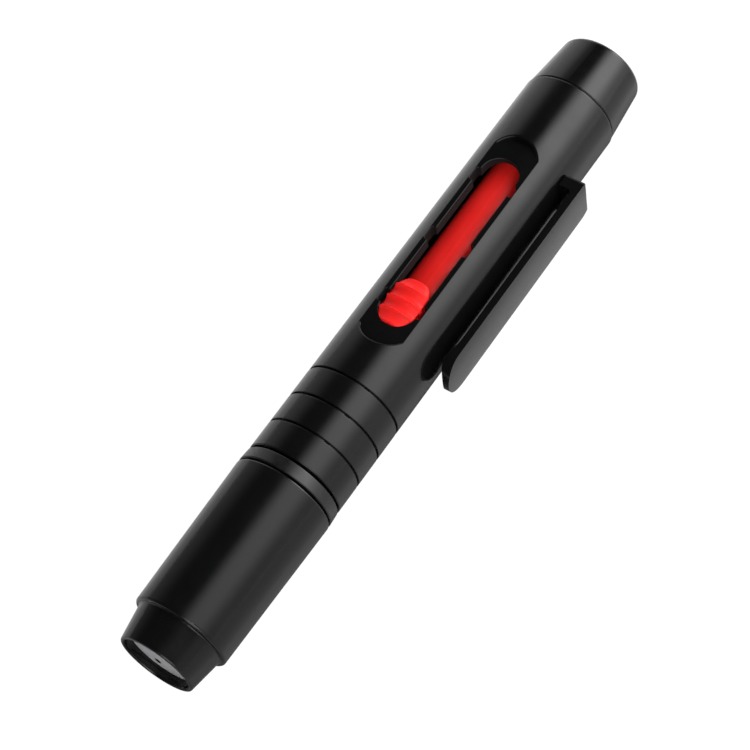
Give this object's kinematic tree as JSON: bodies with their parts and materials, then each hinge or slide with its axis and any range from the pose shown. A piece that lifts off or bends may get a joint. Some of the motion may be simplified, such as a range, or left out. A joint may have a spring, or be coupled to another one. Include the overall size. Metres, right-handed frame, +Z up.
{
  "type": "lens cleaning pen",
  "caption": "Pen-shaped lens cleaner: thumb-slid retractable dust brush at one end, capped concave polishing tip at the other, pocket clip.",
  "frame": {"origin": "on the table, directly below the pen's axis at the seam between the cap's mouth and the collar ring", "axes": "+X along the pen towards the brush nose, +Z up through the middle of the brush slot and its button, the pocket clip on the -Y side"},
  "size_m": [0.1171, 0.0188, 0.016],
  "materials": {
    "black_gloss": "injection-moulded, polished",
    "black_satin": "satin",
    "grey_plug": "satin",
    "carbon_felt": "carbon-loaded felt",
    "black_rubber": "soft",
    "grey_foam": "fine open foam",
    "chamois": "napped",
    "red_carriage": "glossy",
    "red_button": "semi-gloss",
    "spring_steel": "rolled strip",
    "ferrule": "satin",
    "bristle": "soft natural hair"
  },
  "bodies": {
    "barrel": {"barrel": "black_gloss", "nose_cone": "black_gloss", "clip_root": "black_gloss", "tip_holder": "black_satin", "friction_ring": "black_rubber", "tip_stem": "black_rubber", "tip_head": "black_rubber", "pad_foam": "grey_foam", "pad_chamois": "chamois"},
    "collar": {"collar_ring": "black_satin"},
    "cap": {"cap_shell": "black_gloss", "cap_end_plug": "grey_plug", "compound_cup": "black_satin", "compound_pad": "carbon_felt"},
    "slider": {"brush_carriage": "red_carriage", "button_spring": "spring_steel", "brush_ferrule": "ferrule", "brush_plug": "red_carriage", "brush_bristles": "bristle"},
    "button": {"slider_button": "red_button"},
    "clip": {"clip_arm": "black_gloss"}
  },
  "joints": [
    {"name": "cap_turn", "type": "hinge", "parent": "barrel", "child": "collar", "pos_m": [0, 0, 0.00798], "axis": [1, 0, 0], "continuous": true},
    {"name": "cap_pull", "type": "slide", "parent": "collar", "child": "cap", "axis": [-1, 0, 0], "range_m": [0, 0.04]},
    {"name": "brush_slide", "type": "slide", "parent": "barrel", "child": "slider", "axis": [1, 0, 0], "range_m": [0, 0.0244]},
    {"name": "button_press", "type": "slide", "parent": "slider", "child": "button", "axis": [0, 0, -1], "range_m": [0, 0.0008], "stiffness_N_per_m": 1500, "deforming": ["button_spring"]},
    {"name": "clip_flex", "type": "hinge", "parent": "barrel", "child": "clip", "pos_m": [0.0624, -0.0108, 0.00798], "axis": [0, 0, 1], "range_deg": [0, 4], "stiffness_Nm_per_rad": 3}
  ]
}
